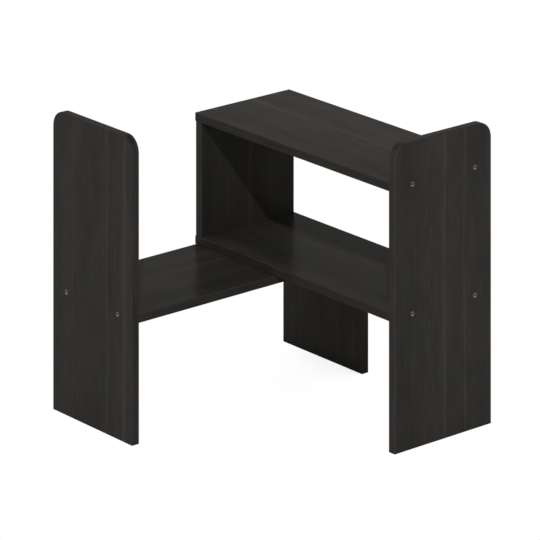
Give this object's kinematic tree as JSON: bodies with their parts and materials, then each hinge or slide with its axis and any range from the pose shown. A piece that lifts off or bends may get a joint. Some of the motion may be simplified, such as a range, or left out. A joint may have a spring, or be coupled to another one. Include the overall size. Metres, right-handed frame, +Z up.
{
  "type": "desktop bookshelf",
  "caption": "Desktop bookshelf in dark wood laminate: an upper unit lies across a lower one in an L and swings on it, each with a tall round-cornered side panel.",
  "frame": {"origin": "on the desk, at the middle of the L's square footprint", "axes": "+Z up; +X from the left side panel along the lower unit; +Y from the right side panel along the upper unit"},
  "size_m": [0.421, 0.421, 0.4083],
  "materials": {
    "laminate": "satin dark espresso wood-grain laminate on board",
    "edge_band": "satin plastic edge band, matching the laminate",
    "steel": "zinc-plated steel"
  },
  "bodies": {
    "lower_unit": {"left_side_panel": "laminate", "left_side_panel_edge_band": "edge_band", "lower_shelf": "laminate", "lower_shelf_front_band": "edge_band", "lower_shelf_back_band": "edge_band", "lower_shelf_end_band": "edge_band", "lower_leg": "laminate", "lower_leg_front_band": "edge_band", "lower_leg_back_band": "edge_band", "left_panel_screw_front": "steel", "left_panel_screw_back": "steel", "lower_shelf_screw_front": "steel", "lower_shelf_screw_back": "steel"},
    "upper_unit": {"right_side_panel": "laminate", "right_side_panel_edge_band": "edge_band", "middle_shelf": "laminate", "middle_shelf_front_band": "edge_band", "middle_shelf_back_band": "edge_band", "middle_shelf_end_band": "edge_band", "top_shelf": "laminate", "top_shelf_front_band": "edge_band", "top_shelf_back_band": "edge_band", "top_shelf_end_band": "edge_band", "upper_upright": "laminate", "upper_upright_front_band": "edge_band", "upper_upright_back_band": "edge_band", "right_panel_low_screw_front": "steel", "right_panel_low_screw_back": "steel", "right_panel_high_screw_front": "steel", "right_panel_high_screw_back": "steel", "middle_shelf_screw_front": "steel", "middle_shelf_screw_back": "steel", "top_shelf_screw_front": "steel", "top_shelf_screw_back": "steel"}
  },
  "joints": [
    {"name": "upper_unit_swing", "type": "hinge", "parent": "lower_unit", "child": "upper_unit", "pos_m": [0.1235, 0.1235, 0.17215], "axis": [0, 0, 1], "range_deg": [-59, 239]}
  ]
}
